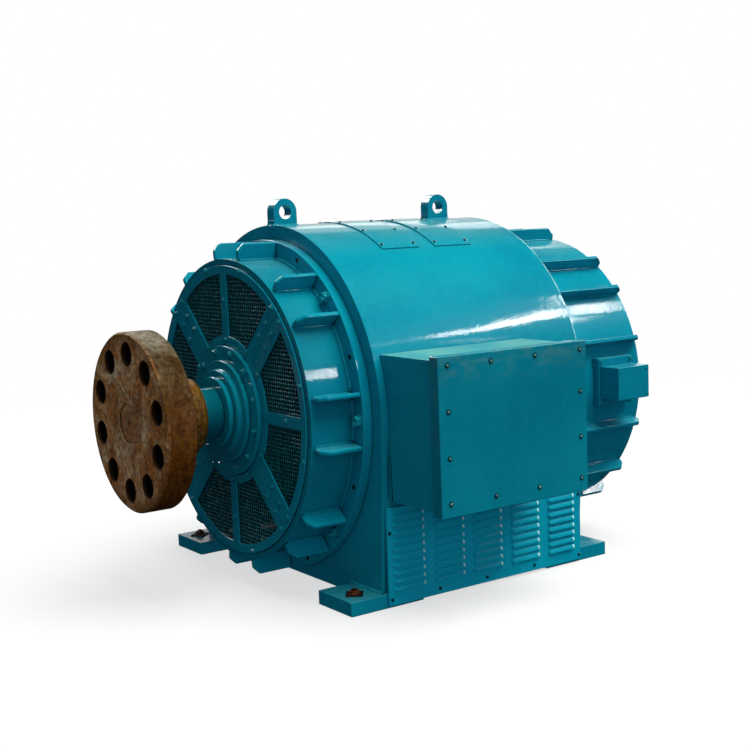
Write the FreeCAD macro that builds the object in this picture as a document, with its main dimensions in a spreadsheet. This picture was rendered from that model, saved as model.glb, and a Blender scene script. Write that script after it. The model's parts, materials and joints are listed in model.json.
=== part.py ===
# Horizontal hydroelectric generator: fabricated stator frame on four foot plates, open-ventilated
# end shields at both ends, a terminal box on the +X side and a forged coupling on the shaft.
# Millimetres. +Z up, drive end (coupling) towards -Y, terminal box on +X.
# Origin: centre of the foot-bolt pattern, on the plane the feet stand on.
import FreeCAD, Part
import math
import os
from FreeCAD import Vector, Rotation, Placement

doc = FreeCAD.newDocument("generator")
sheet = doc.addObject("Spreadsheet::Sheet", "dims")

DIMS = [
    # shaft and frame
    ("shaft_height", 681.0), ("frame_radius", 700.0), ("frame_half", 487.0), ("plate_thick", 24.0),
    ("skin_radius", 699.5), ("side_half", 680.0), ("plate_foot_half", 662.0), ("plate_wide_half", 697.34),
    ("plate_shoulder", 620.0), ("foot_thick", 52.0), ("tongue_half", 461.0), ("skirt_clear", 15.0),
    # feet
    ("foot_outer", 680.0), ("foot_wide", 216.0), ("foot_long", 320.0), ("foot_front_start", -633.0),
    ("foot_rear_start", 294.0), ("bolt_half_x", 600.0), ("bolt_half_y", 565.0), ("foot_hole_r", 26.0),
    # louvre panels
    ("louver_thick", 12.0), ("louver_start", -475.0), ("louver_long", 942.0), ("louver_low", 10.0),
    ("louver_high", 366.0),
    # lifting eyes
    ("eye_front_y", -434.0), ("eye_rear_y", 317.0), ("eye_height", 1430.0), ("eye_radius", 52.0),
    ("eye_hole_r", 27.0), ("eye_thick", 50.0), ("eye_base", 1381.2), ("eye_base_half", 52.5),
    # top inspection covers
    ("cover_inner_r", 699.8), ("cover_outer_r", 704.8), ("cover_half_angle", 32.0),
    ("cover_front_start", -224.0), ("cover_front_long", 176.0), ("cover_rear_start", 28.0),
    ("cover_rear_long", 182.0),
    # drive-end shield
    ("flange_r", 645.0), ("flange_thick", 40.0), ("de_drum_r", 580.0), ("de_face", 703.0),
    ("ring_inner_r", 522.0), ("hub_r", 286.0), ("arm_wide", 118.0), ("arm_deep", 40.0),
    ("de_recess", 140.0), ("rib_outer_r", 645.0), ("rib_thick", 18.0), ("rib_pair_half", 8.7),
    ("de_rib_front", 695.0), ("rib_chamfer", 28.0), ("rib_gap", 0.3),
    # ventilation screens
    ("screen_outer_r", 556.0), ("screen_inner_r", 252.0), ("screen_thick", 8.0), ("bar_wide", 47.0),
    ("mesh_thick", 3.0), ("mesh_inset", 12.0),
    # drive-end bearing
    ("bearing_flange_r", 250.0), ("bearing_flange_thick", 24.0), ("cover_step_r", 195.0),
    ("cover_step_thick", 18.0), ("cover_ring_r", 160.0), ("cover_ring_thick", 18.0), ("cap_r", 135.0),
    ("cap_thick", 21.0), ("nose_r", 98.0), ("nose_long", 79.0), ("bore_clear_r", 76.0),
    ("nose_bore_r", 74.08),
    # rotor
    ("shaft_r", 74.0), ("shaft_rear", 610.0), ("coupling_face", 1131.0), ("coupling_thick", 113.0),
    ("coupling_r", 335.0), ("coupling_hub_r", 135.0), ("coupling_hub_long", 145.0),
    ("coupling_bore_r", 74.05), ("coupling_pcd_r", 256.0), ("coupling_hole_r", 45.0),
    ("coupling_phase", 3.84), ("coupling_edge", 7.0), ("turned_step", 3.0),
    # terminal box
    ("box_start", -457.0), ("box_long", 668.0), ("box_low", 392.0), ("box_tall", 523.0),
    ("box_front", 950.0), ("lid_start", -462.0), ("lid_long", 678.0), ("lid_low", 377.0),
    ("lid_tall", 551.0), ("lid_thick", 48.0), ("lid_lap", 0.0),
    # non-drive-end shield
    ("nde_drum_r", 592.0), ("nde_face", 920.0), ("nde_recess", 120.0), ("nde_rib_r", 644.0),
    ("nde_pair_half", 7.6), ("nde_side_half", 16.5), ("nde_cap_r", 195.0), ("nde_cap_thick", 34.0),
    # small auxiliary box on the non-drive-end drum
    ("aux_start", 663.0), ("aux_long", 174.0), ("aux_low", 627.0), ("aux_tall", 133.0),
    ("aux_front", 722.0), ("aux_back", 620.0), ("aux_base_start", 655.0), ("aux_base_long", 190.0),
    ("aux_base_low", 596.0), ("aux_base_tall", 196.0), ("aux_base_in", 592.3),
]
for i, (alias, value) in enumerate(DIMS):
    cell = "B%d" % (i + 1)
    sheet.set("A%d" % (i + 1), alias)
    sheet.set(cell, "%s" % value)
    sheet.setAlias(cell, alias)
doc.recompute()
V = dict(DIMS)


def bind(obj, **props):
    for key, expr in props.items():
        obj.setExpression(key.replace("__", "."), expr)
    return obj


# the shaft axis runs along Y: local Z of a round piece points to -Y, local X to +X, local Y to +Z
AXIAL = Rotation(Vector(1, 0, 0), 90)


def drum(name, radius, length, start, angle=None, turn=0.0, x0=0.0, z0="dims.shaft_height"):
    """Round piece on the shaft axis. start is the +Y end, the piece runs length towards -Y."""
    c = doc.addObject("Part::Cylinder", name)
    c.Placement = Placement(Vector(x0, 0, 0), AXIAL * Rotation(Vector(0, 0, 1), turn))
    bind(c, Radius=radius, Height=length)
    c.setExpression("Placement.Base.y", start)
    c.setExpression("Placement.Base.z", z0)
    if angle:
        c.setExpression("Angle", angle)
    return c


def block(name, dx, dy, dz, x, y, z):
    b = doc.addObject("Part::Box", name)
    bind(b, Length=dx, Width=dy, Height=dz)
    b.setExpression("Placement.Base.x", x)
    b.setExpression("Placement.Base.y", y)
    b.setExpression("Placement.Base.z", z)
    return b


def spoke(name, along, across, deep, r_start, start, turn, shift="0"):
    """Straight bar lying in a plane square to the shaft, at an angle turn from +X towards +Z."""
    b = doc.addObject("Part::Box", name)
    bind(b, Length=along, Width=across, Height=deep)
    a = math.radians(turn)
    b.Placement = Placement(Vector(0, 0, 0), AXIAL * Rotation(Vector(0, 0, 1), turn))
    ca, sa = repr(math.cos(a)), repr(math.sin(a))
    off = "((%s) - (%s) / 2)" % (shift, across)
    b.setExpression("Placement.Base.x", "(%s) * (%s) - %s * (%s)" % (r_start, ca, off, sa))
    b.setExpression("Placement.Base.z", "dims.shaft_height + (%s) * (%s) + %s * (%s)" % (r_start, sa, off, ca))
    b.setExpression("Placement.Base.y", start)
    return b


def cut(name, base, tool):
    c = doc.addObject("Part::Cut", name)
    c.Base, c.Tool = base, tool
    return c


def fuse(name, parts):
    f = doc.addObject("Part::MultiFuse", name)
    f.Shapes = parts
    f.Refine = True
    return f


def common(name, parts):
    f = doc.addObject("Part::MultiCommon", name)
    f.Shapes = parts
    return f


def group(name, parts):
    g = doc.addObject("Part::Compound", name)
    g.Links = parts
    return g


def body_plane(body, role):
    for feature in body.Origin.OriginFeatures:
        if getattr(feature, "Role", "") == role:
            return feature
    raise RuntimeError("no plane " + role)


NODES = {}


def node(name, obj):
    obj.Label = name
    NODES[name] = obj
    return obj


def pad_body(name, draw, length, offset):
    """Body with one sketch on its XZ plane, padded along Y. offset is the -Y face."""
    body = doc.addObject("PartDesign::Body", name)
    sketch = body.newObject("Sketcher::SketchObject", name + "_sketch")
    sketch.AttachmentSupport = [(body_plane(body, "XZ_Plane"), "")]
    sketch.MapMode = "FlatFace"
    draw(sketch)
    pad = body.newObject("PartDesign::Pad", name + "_pad")
    pad.Profile = sketch
    pad.Reversed = True
    pad.setExpression("Length", length)
    sketch.Visibility = False
    body.setExpression("Placement.Base.y", offset)
    body.Tip = pad
    return body


def d_section(sketch, radius, half_top, z_top, half_low, z_low, tongue=None):
    """Round back over straight sides. Sketch X is world X and sketch Y is world Z."""
    H = V["shaft_height"]
    R = V[radius]
    hs, zt = half_top, z_top
    a0 = math.atan2(zt - H, hs)
    a1 = math.pi - a0
    arc = sketch.addGeometry(Part.ArcOfCircle(Part.Circle(Vector(0, H, 0), Vector(0, 0, 1), R), a0, a1), False)
    pts = [(-hs, zt), (-half_low, z_low)]
    if tongue:
        pts += [(-tongue[0], z_low), (-tongue[0], tongue[1]), (tongue[0], tongue[1]), (tongue[0], z_low)]
    pts += [(half_low, z_low), (hs, zt)]
    lines = []
    for p, q in zip(pts[:-1], pts[1:]):
        lines.append(sketch.addGeometry(Part.LineSegment(Vector(p[0], p[1], 0), Vector(q[0], q[1], 0)), False))
    import Sketcher
    C = Sketcher.Constraint
    sketch.addConstraint(C("Coincident", arc, 2, lines[0], 1))
    for m, n in zip(lines[:-1], lines[1:]):
        sketch.addConstraint(C("Coincident", m, 2, n, 1))
    sketch.addConstraint(C("Coincident", lines[-1], 2, arc, 1))
    sketch.addConstraint(C("PointOnObject", arc, 3, -2))
    k = sketch.addConstraint(C("DistanceY", -1, 1, arc, 3, H))
    sketch.setExpression("Constraints[%d]" % k, "dims.shaft_height")
    k = sketch.addConstraint(C("Radius", arc, R))
    sketch.setExpression("Constraints[%d]" % k, "dims." + radius)
    return arc, lines, C


def draw_end_plate(sketch):
    arc, lines, C = d_section(sketch, "frame_radius", V["plate_wide_half"], V["plate_shoulder"], V["plate_foot_half"],
                              V["foot_thick"], (V["tongue_half"], V["skirt_clear"]))
    left, low_l, drop_l, low, drop_r, low_r, right = lines
    for line in (low_l, low, low_r):
        sketch.addConstraint(C("Horizontal", line))
    for line in (drop_l, drop_r):
        sketch.addConstraint(C("Vertical", line))
    for a, pa, expr, val, kind in (
            (arc, 1, "dims.plate_shoulder", V["plate_shoulder"], "DistanceY"),
            (arc, 2, "dims.plate_shoulder", V["plate_shoulder"], "DistanceY"),
            (low_r, 2, "dims.plate_foot_half", V["plate_foot_half"], "DistanceX"),
            (low_r, 2, "dims.foot_thick", V["foot_thick"], "DistanceY"),
            (low_l, 2, "dims.foot_thick", V["foot_thick"], "DistanceY"),
            (low, 2, "dims.skirt_clear", V["skirt_clear"], "DistanceY"),
            (low, 2, "dims.tongue_half", V["tongue_half"], "DistanceX")):
        k = sketch.addConstraint(C(kind, -1, 1, a, pa, val))
        sketch.setExpression("Constraints[%d]" % k, expr)
    for a, pa, expr, val in ((low_l, 1, "dims.plate_foot_half", V["plate_foot_half"]),
                             (low, 1, "dims.tongue_half", V["tongue_half"])):
        k = sketch.addConstraint(C("DistanceX", a, pa, -1, 1, val))
        sketch.setExpression("Constraints[%d]" % k, expr)


def draw_shell(sketch):
    H, R, S = V["shaft_height"], V["skin_radius"], V["side_half"]
    zt = H - math.sqrt(R * R - S * S)
    arc, lines, C = d_section(sketch, "skin_radius", S, zt, S, V["foot_thick"])
    left, low, right = lines
    sketch.addConstraint(C("Vertical", left))
    sketch.addConstraint(C("Vertical", right))
    sketch.addConstraint(C("Horizontal", low))
    k = sketch.addConstraint(C("DistanceY", -1, 1, low, 1, V["foot_thick"]))
    sketch.setExpression("Constraints[%d]" % k, "dims.foot_thick")
    k = sketch.addConstraint(C("DistanceX", -1, 1, low, 2, S))
    sketch.setExpression("Constraints[%d]" % k, "dims.side_half")
    k = sketch.addConstraint(C("DistanceX", low, 1, -1, 1, S))
    sketch.setExpression("Constraints[%d]" % k, "dims.side_half")


# ---- stator frame ---------------------------------------------------------------------------
node("frame_shell", pad_body("frame_shell", draw_shell, "2 * (dims.frame_half - dims.plate_thick)",
                             "dims.plate_thick - dims.frame_half"))
for end, start in (("front", "-dims.frame_half"), ("rear", "dims.frame_half - dims.plate_thick")):
    # the louvred panels sit in shallow rebates in the plate's side edges
    n = "frame_%s_plate" % end
    rebates = [block(n + "_rebate_" + side, "60", "dims.louver_long", "dims.louver_high - dims.louver_low", x,
                     "dims.louver_start", "dims.louver_low")
               for side, x in (("right", "dims.side_half"), ("left", "-dims.side_half - 60"))]
    node(n, cut(n, pad_body(n + "_blank", draw_end_plate, "dims.plate_thick", start), group(n + "_rebates", rebates)))

# ---- foot plates, one holding-down bolt hole each ----------------------------------------------
for side, sx in (("right", 1), ("left", -1)):
    for end, start, hy in (("front", "dims.foot_front_start", -1), ("rear", "dims.foot_rear_start", 1)):
        n = "foot_%s_%s" % (end, side)
        x = "dims.foot_outer - dims.foot_wide" if sx > 0 else "-dims.foot_outer"
        plate = block(n + "_plate", "dims.foot_wide", "dims.foot_long", "dims.foot_thick", x, start, "0")
        hole = doc.addObject("Part::Cylinder", n + "_hole")
        bind(hole, Radius="dims.foot_hole_r", Height="dims.foot_thick + 20")
        hole.setExpression("Placement.Base.x", "%d * dims.bolt_half_x" % sx)
        hole.setExpression("Placement.Base.y", "%d * dims.bolt_half_y" % hy)
        hole.setExpression("Placement.Base.z", "-10")
        node(n, cut(n, plate, hole))

# ---- louvred side panels ---------------------------------------------------------------------
node("louver_panel_right", block("louver_panel_right", "dims.louver_thick", "dims.louver_long",
                                 "dims.louver_high - dims.louver_low", "dims.side_half", "dims.louver_start",
                                 "dims.louver_low"))
node("louver_panel_left", block("louver_panel_left", "dims.louver_thick", "dims.louver_long",
                                "dims.louver_high - dims.louver_low", "-dims.side_half - dims.louver_thick",
                                "dims.louver_start", "dims.louver_low"))

# ---- lifting eyes: round-topped plates standing on the crown of the frame -----------------------
for end in ("front", "rear"):
    n = "lifting_eye_" + end
    yc = "dims.eye_%s_y" % end
    disc = doc.addObject("Part::Cylinder", n + "_disc")
    disc.Placement = Placement(Vector(0, 0, 0), Rotation(Vector(0, 1, 0), 90))
    bind(disc, Radius="dims.eye_radius", Height="dims.eye_thick")
    disc.setExpression("Placement.Base.x", "-dims.eye_thick / 2")
    disc.setExpression("Placement.Base.y", yc)
    disc.setExpression("Placement.Base.z", "dims.eye_height")
    root = block(n + "_root", "dims.eye_thick", "2 * dims.eye_base_half", "18",
                 "-dims.eye_thick / 2", yc + " - dims.eye_base_half", "dims.eye_base")
    web = block(n + "_web", "dims.eye_thick", "2 * dims.eye_radius", "dims.eye_height - dims.eye_base",
                "-dims.eye_thick / 2", yc + " - dims.eye_radius", "dims.eye_base")
    trim = block(n + "_trim", "dims.eye_thick + 20", "400", "200",
                 "-dims.eye_thick / 2 - 10", yc + " - 200", "dims.eye_base - 200")
    hole = doc.addObject("Part::Cylinder", n + "_hole")
    hole.Placement = Placement(Vector(0, 0, 0), Rotation(Vector(0, 1, 0), 90))
    bind(hole, Radius="dims.eye_hole_r", Height="dims.eye_thick + 40")
    hole.setExpression("Placement.Base.x", "-dims.eye_thick / 2 - 20")
    hole.setExpression("Placement.Base.y", yc)
    hole.setExpression("Placement.Base.z", "dims.eye_height")
    solid = cut(n + "_trimmed", fuse(n + "_solid", [disc, web, root]), trim)
    node(n, cut(n, solid, hole))

# ---- curved inspection covers on the crown -----------------------------------------------------
for end in ("front", "rear"):
    n = "top_cover_" + end
    start = "dims.cover_%s_start + dims.cover_%s_long" % (end, end)
    length = "dims.cover_%s_long" % end
    turn = 90.0 - V["cover_half_angle"]
    outer = drum(n + "_outer", "dims.cover_outer_r", length, start, "2 * dims.cover_half_angle", turn)
    inner = drum(n + "_inner", "dims.cover_inner_r", length + " + 20", start + " + 10", None, 0)
    node(n, cut(n, outer, inner))


# ---- end shields -------------------------------------------------------------------------------
def shield(pre, sign, drum_r, face, recess, side_half, rib_r, rib_end, bore):
    """sign -1 is the drive end. Distances are from the frame centre, measured outwards."""
    back = "(dims.frame_half + dims.flange_thick)"

    def span(a, b):
        # +Y end and length of a piece that runs from distance a out to distance b
        length = "(%s) - (%s)" % (b, a)
        return (("-(%s)" % a) if sign < 0 else "(%s)" % b), length

    s, l = span("dims.frame_half", back)
    node(pre + "_mating_flange", drum(pre + "_mating_flange", "dims.flange_r", l, s))

    s, l = span(back, face)
    shell = drum(pre + "_drum_outer", drum_r, l, s)
    s, l = span("(%s) - %s" % (face, recess), face + " + 10")
    hollow_o = drum(pre + "_hollow_outer", "dims.ring_inner_r", l, s)
    hollow_i = drum(pre + "_hollow_inner", "dims.hub_r", l + " + 20", s + " + 10")
    hollow = cut(pre + "_hollow", hollow_o, hollow_i)
    opened = cut(pre + "_opened", shell, hollow)
    arms = []
    for k, turn in enumerate((45, 135, 225, 315)):
        s, l = span("(%s) - dims.arm_deep" % face, face)
        arms.append(spoke("%s_arm_%d" % (pre, k), "dims.ring_inner_r - dims.hub_r + 20", "dims.arm_wide", l,
                          "dims.hub_r - 10", s, turn))
    casting = fuse(pre + "_shield_fused", [opened] + arms)
    if bore:
        s, l = span("(%s) - 115" % face, face + " + 10")
        casting = cut(pre + "_shield_casting", casting, drum(pre + "_bore", "dims.bore_clear_r", l, s))
    node(pre + "_shield_casting", casting)

    ribs = []
    angles = []
    for k in range(8):
        hv = V["rib_pair_half"] if sign < 0 else V["nde_pair_half"]
        if side_half and k in (0, 4):
            hv = side_half
        angles += [45.0 * k - hv, 45.0 * k + hv]
    for k, turn in enumerate(angles):
        s, l = span(back, rib_end)
        r_in = "%s + dims.rib_gap" % drum_r
        rib = spoke("%s_rib_%02d" % (pre, k), "%s - (%s)" % (rib_r, r_in), "dims.rib_thick", l, r_in, s, turn)
        # sloped outer corner at the open end of the rib
        a = math.radians(turn)
        wedge = doc.addObject("Part::Box", "%s_rib_%02d_corner" % (pre, k))
        bind(wedge, Length="120", Width="dims.rib_thick + 20", Height="120")
        tip_r = V["rib_outer_r"] if rib_r == "dims.rib_outer_r" else V["nde_rib_r"]
        tip_y = V["de_rib_front"] if sign < 0 else V["nde_face"] - 6
        ch = V["rib_chamfer"]
        # a cutting block whose face passes through (tip_r, tip_y - ch) and (tip_r - ch, tip_y)
        lean = Rotation(Vector(0, 1, 0), -45 if sign < 0 else 45)
        frame = Placement(Vector(0, 0, V["shaft_height"]), AXIAL * Rotation(Vector(0, 0, 1), turn))
        out = tip_y if sign < 0 else -tip_y
        inward = -1 if sign < 0 else 1
        # local axes: x radial, y across, z towards -Y
        corner = Vector(tip_r - ch / 2.0, -(V["rib_thick"] + 20) / 2.0, out + inward * ch / 2.0)
        local = Placement(corner, lean).multiply(Placement(Vector(0, 0, -60), Rotation()))
        wedge.Placement = frame.multiply(local)
        ribs.append(cut("%s_rib_%02d_cut" % (pre, k), rib, wedge))
    node(pre + "_shield_ribs", group(pre + "_shield_ribs", ribs))

    # four bolted ventilation screens, each a quarter frame with a bar down its middle
    meshes = []
    half_arm = V["arm_wide"] / 2.0
    apex = half_arm * math.sqrt(2.0)
    names = (("right", 0.0), ("top", 90.0), ("left", 180.0), ("bottom", 270.0))
    for quarter, mid in names:
        s, l = span(face, face + " + dims.screen_thick")
        q = "%s_screen_%s" % (pre, quarter)
        plate = drum(q + "_plate", "dims.screen_outer_r", l, s, "89.7", mid - 44.85)
        inner = drum(q + "_inner", "dims.screen_inner_r", l + " + 20", s + " + 10")
        ring_o = drum(q + "_win_outer", "dims.ring_inner_r", l + " + 20", s + " + 10")
        ring_i = drum(q + "_win_inner", "dims.hub_r", l + " + 40", s + " + 20")
        band = cut(q + "_win_band", ring_o, ring_i)
        wedge = drum(q + "_win_wedge", "dims.frame_radius", l + " + 30", s + " + 15", "90", mid - 45.0)
        m = math.radians(mid)
        wedge.setExpression("Placement.Base.x", "dims.arm_wide * %r" % (math.cos(m) * math.sqrt(0.5)))
        wedge.setExpression("Placement.Base.z", "dims.shaft_height + dims.arm_wide * %r" % (math.sin(m) * math.sqrt(0.5)))
        bar = spoke(q + "_bar", "dims.ring_inner_r", "dims.bar_wide", l + " + 60", "100", s + " + 30", mid)
        window = cut(q + "_window", common(q + "_win_area", [band, wedge]), bar)
        node(q, cut(q, cut(q + "_disc", plate, inner), window))
        # woven wire sheet, held behind the frame inside the same quarter opening
        s2, l2 = span("(%s) - dims.mesh_thick" % face, face)
        mo = drum(q + "_mesh_outer", "dims.ring_inner_r - 0.5", l2, s2)
        mi = drum(q + "_mesh_inner", "dims.hub_r + 0.5", l2 + " + 20", s2 + " + 10")
        mw = drum(q + "_mesh_wedge", "dims.frame_radius", l2 + " + 20", s2 + " + 10", "90", mid - 45.0)
        mw.setExpression("Placement.Base.x", "(dims.arm_wide + 1) * %r" % (math.cos(m) * math.sqrt(0.5)))
        mw.setExpression("Placement.Base.z",
                         "dims.shaft_height + (dims.arm_wide + 1) * %r" % (math.sin(m) * math.sqrt(0.5)))
        meshes.append(common(q + "_mesh", [cut(q + "_mesh_band", mo, mi), mw]))
    node(pre + "_wire_mesh", group(pre + "_wire_mesh", meshes))


shield("de", -1, "dims.de_drum_r", "dims.de_face", "dims.de_recess", 0, "dims.rib_outer_r", "dims.de_rib_front", True)
shield("nde", 1, "dims.nde_drum_r", "dims.nde_face", "dims.nde_recess", V["nde_side_half"], "dims.nde_rib_r",
       "dims.nde_face - 6", False)


# ---- drive-end bearing: stepped covers round the shaft ------------------------------------------
def ring(name, r_out, r_in, near, far):
    """Ring on the shaft at the drive end, between distances near and far from the frame centre."""
    outer = drum(name + "_outer", r_out, "(%s) - (%s)" % (far, near), "-(%s)" % near)
    inner = drum(name + "_inner", r_in, "(%s) - (%s) + 20" % (far, near), "-(%s) + 10" % near)
    return cut(name + "_ring", outer, inner)


y0 = "dims.de_face"
y1 = y0 + " + dims.bearing_flange_thick"
y2 = y1 + " + dims.cover_step_thick"
y3 = y2 + " + dims.cover_ring_thick"
y4 = y3 + " + dims.cap_thick"
y5 = y4 + " + dims.nose_long"
node("de_bearing_flange", ring("de_bearing_flange", "dims.bearing_flange_r", "dims.bore_clear_r", y0, y1))
node("de_bearing_cover", fuse("de_bearing_cover_body", [
    ring("de_bearing_cover_wide", "dims.cover_step_r", "dims.bore_clear_r", y1, y2),
    ring("de_bearing_cover_narrow", "dims.cover_ring_r", "dims.bore_clear_r", y2, y3)]))
node("de_bearing_cap", ring("de_bearing_cap", "dims.cap_r", "dims.bore_clear_r", y3, y4))
node("de_shaft_seal", ring("de_shaft_seal", "dims.nose_r", "dims.nose_bore_r", y4, y5))

# ---- rotor: shaft end and forged coupling --------------------------------------------------------
node("rotor_shaft", drum("rotor_shaft", "dims.shaft_r", "dims.coupling_face - dims.shaft_rear - dims.turned_step",
                         "-dims.shaft_rear"))
disc = drum("coupling_disc", "dims.coupling_r", "dims.coupling_thick", "dims.coupling_thick - dims.coupling_face")
hub = drum("coupling_hub", "dims.coupling_hub_r", "dims.coupling_hub_long",
           "dims.coupling_thick + dims.coupling_hub_long - dims.coupling_face")
blank = fuse("coupling_blank", [disc, hub])
tools = [drum("coupling_bore", "dims.coupling_bore_r", "dims.coupling_thick + dims.coupling_hub_long + 40",
              "dims.coupling_thick + dims.coupling_hub_long - dims.coupling_face + 20")]
for k in range(10):
    phase = math.radians(V["coupling_phase"] + 36.0 * k)
    h = drum("coupling_hole_%d" % k, "dims.coupling_hole_r", "dims.coupling_thick + 40",
             "dims.coupling_thick - dims.coupling_face + 20")
    h.setExpression("Placement.Base.x", "dims.coupling_pcd_r * %r" % math.sin(phase))
    h.setExpression("Placement.Base.z", "dims.shaft_height + dims.coupling_pcd_r * %r" % math.cos(phase))
    tools.append(h)
drilled = cut("coupling_drilled", blank, fuse("coupling_tools", tools))
doc.recompute()
# broken edges on both rims of the coupling disc
edges = []
for i, e in enumerate(drilled.Shape.Edges):
    c = e.Curve
    if isinstance(c, Part.Circle) and abs(c.Radius - V["coupling_r"]) < 0.01:
        edges.append((i + 1, V["coupling_edge"], V["coupling_edge"]))
broken = doc.addObject("Part::Chamfer", "coupling_broken")
broken.Base = drilled
broken.Edges = edges
node("coupling_flange", broken)

# ---- terminal box on the +X side -----------------------------------------------------------------
box = block("terminal_box_block", "dims.box_front - 560", "dims.box_long", "dims.box_tall", "560", "dims.box_start",
            "dims.box_low")
crown = drum("terminal_box_crown", "dims.skin_radius + 0.3", "dims.box_long + 40",
             "dims.box_start + dims.box_long + 20")
flank = block("terminal_box_flank", "dims.side_half", "dims.box_long + 40", "dims.shaft_height", "0",
              "dims.box_start - 20", "0")
node("terminal_box_body", cut("terminal_box_body", box, fuse("terminal_box_seat", [crown, flank])))
node("terminal_box_cover", block("terminal_box_cover", "dims.lid_thick", "dims.lid_long", "dims.lid_tall",
                                 "dims.box_front", "dims.lid_start", "dims.lid_low"))

# ---- non-drive-end bearing cap --------------------------------------------------------------------
node("nde_bearing_flange", drum("nde_bearing_flange", "dims.bearing_flange_r", "dims.bearing_flange_thick",
                                "dims.nde_face + dims.bearing_flange_thick"))
node("nde_bearing_cap", drum("nde_bearing_cap", "dims.nde_cap_r", "dims.nde_cap_thick",
                             "dims.nde_face + dims.bearing_flange_thick + dims.nde_cap_thick"))

# ---- auxiliary box on the side of the non-drive-end drum --------------------------------------------
seat = block("aux_box_pad", "dims.aux_back - 540", "dims.aux_base_long", "dims.aux_base_tall", "540",
             "dims.aux_base_start", "dims.aux_base_low")
seat_cut = drum("aux_box_seat", "dims.aux_base_in", "dims.aux_base_long + 40",
                "dims.aux_base_start + dims.aux_base_long + 20")
node("aux_box_base", cut("aux_box_base", seat, seat_cut))
node("aux_box_cover", block("aux_box_cover", "dims.aux_front - dims.aux_back", "dims.aux_long", "dims.aux_tall",
                            "dims.aux_back", "dims.aux_start", "dims.aux_low"))

doc.recompute()

# ---- checks and export ------------------------------------------------------------------------------
for obj in doc.Objects:
    state = [s for s in obj.State if s in ("Invalid", "Error")]
    if state:
        raise RuntimeError("%s is %s" % (obj.Label, state))
for name, obj in NODES.items():
    shape = obj.Shape
    if shape.isNull() or not shape.isValid() or shape.Volume < 1.0:
        raise RuntimeError("%s has no valid solid" % name)
os.makedirs("parts", exist_ok=True)
for old in os.listdir("parts"):
    if old.endswith(".step"):
        os.remove(os.path.join("parts", old))
total = 0.0
for name in sorted(NODES):
    shape = NODES[name].Shape
    shape.exportStep(os.path.join("parts", name + ".step"))
    total += shape.Volume
    bb = shape.BoundBox
    print("%-22s %2d solids %10.1f cm3  x %8.1f %8.1f  y %8.1f %8.1f  z %8.1f %8.1f" % (
        name, len(shape.Solids), shape.Volume / 1000.0, bb.XMin, bb.XMax, bb.YMin, bb.YMax, bb.ZMin, bb.ZMax))
print("nodes", len(NODES), "volume m3", total / 1e9)
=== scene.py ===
"""Looks of the hydroelectric generator: materials, fasteners, louvres, wire screens, welds, light and camera."""

import json
import math
import random

import bmesh
import bpy
from mathutils import Matrix, Vector


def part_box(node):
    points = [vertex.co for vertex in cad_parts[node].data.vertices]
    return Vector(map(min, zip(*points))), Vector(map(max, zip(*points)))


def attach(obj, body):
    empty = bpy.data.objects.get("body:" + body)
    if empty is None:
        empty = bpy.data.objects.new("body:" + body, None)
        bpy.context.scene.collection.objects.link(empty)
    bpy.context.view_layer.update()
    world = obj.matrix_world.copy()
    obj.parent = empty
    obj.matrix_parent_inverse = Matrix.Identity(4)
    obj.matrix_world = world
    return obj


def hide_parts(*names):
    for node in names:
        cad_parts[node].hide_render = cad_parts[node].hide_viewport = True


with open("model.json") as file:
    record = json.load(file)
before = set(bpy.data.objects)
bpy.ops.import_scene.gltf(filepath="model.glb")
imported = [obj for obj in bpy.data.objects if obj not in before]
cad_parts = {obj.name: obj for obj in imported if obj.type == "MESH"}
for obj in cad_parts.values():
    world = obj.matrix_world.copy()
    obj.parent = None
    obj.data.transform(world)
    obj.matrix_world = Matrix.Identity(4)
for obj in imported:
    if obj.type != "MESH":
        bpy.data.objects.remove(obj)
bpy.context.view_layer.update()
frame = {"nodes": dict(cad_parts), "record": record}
NODES = frame["nodes"]
rnd = random.Random(41)

# planes and centres, from the CAD nodes and the record
LO, HI = 0, 1
AXIS_Z = (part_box("coupling_flange")[LO].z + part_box("coupling_flange")[HI].z) / 2  # shaft height
COUPLING_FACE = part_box("coupling_flange")[LO].y
SHAFT_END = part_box("rotor_shaft")[LO].y
CROWN_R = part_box("top_cover_front")[HI].z - AXIS_Z
SKIN_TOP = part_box("frame_shell")[HI].z
FOOT_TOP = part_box("foot_front_right")[HI].z
COVER_LO, COVER_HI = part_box("terminal_box_cover")
PANEL_LO, PANEL_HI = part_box("louver_panel_right")
OPENINGS = {o["name"]: (Vector(o["box_m"][0]) + Vector(o["box_m"][1])) / 2 for o in frame["record"]["physics"]["openings"]}
HOLE_1 = OPENINGS["coupling_bolt_hole_01"]
HOLE_CIRCLE = math.hypot(HOLE_1.x, HOLE_1.z - AXIS_Z)
HOLE_TURN = math.atan2(HOLE_1.x, HOLE_1.z - AXIS_Z)
HOLE_R = 0.045


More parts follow.
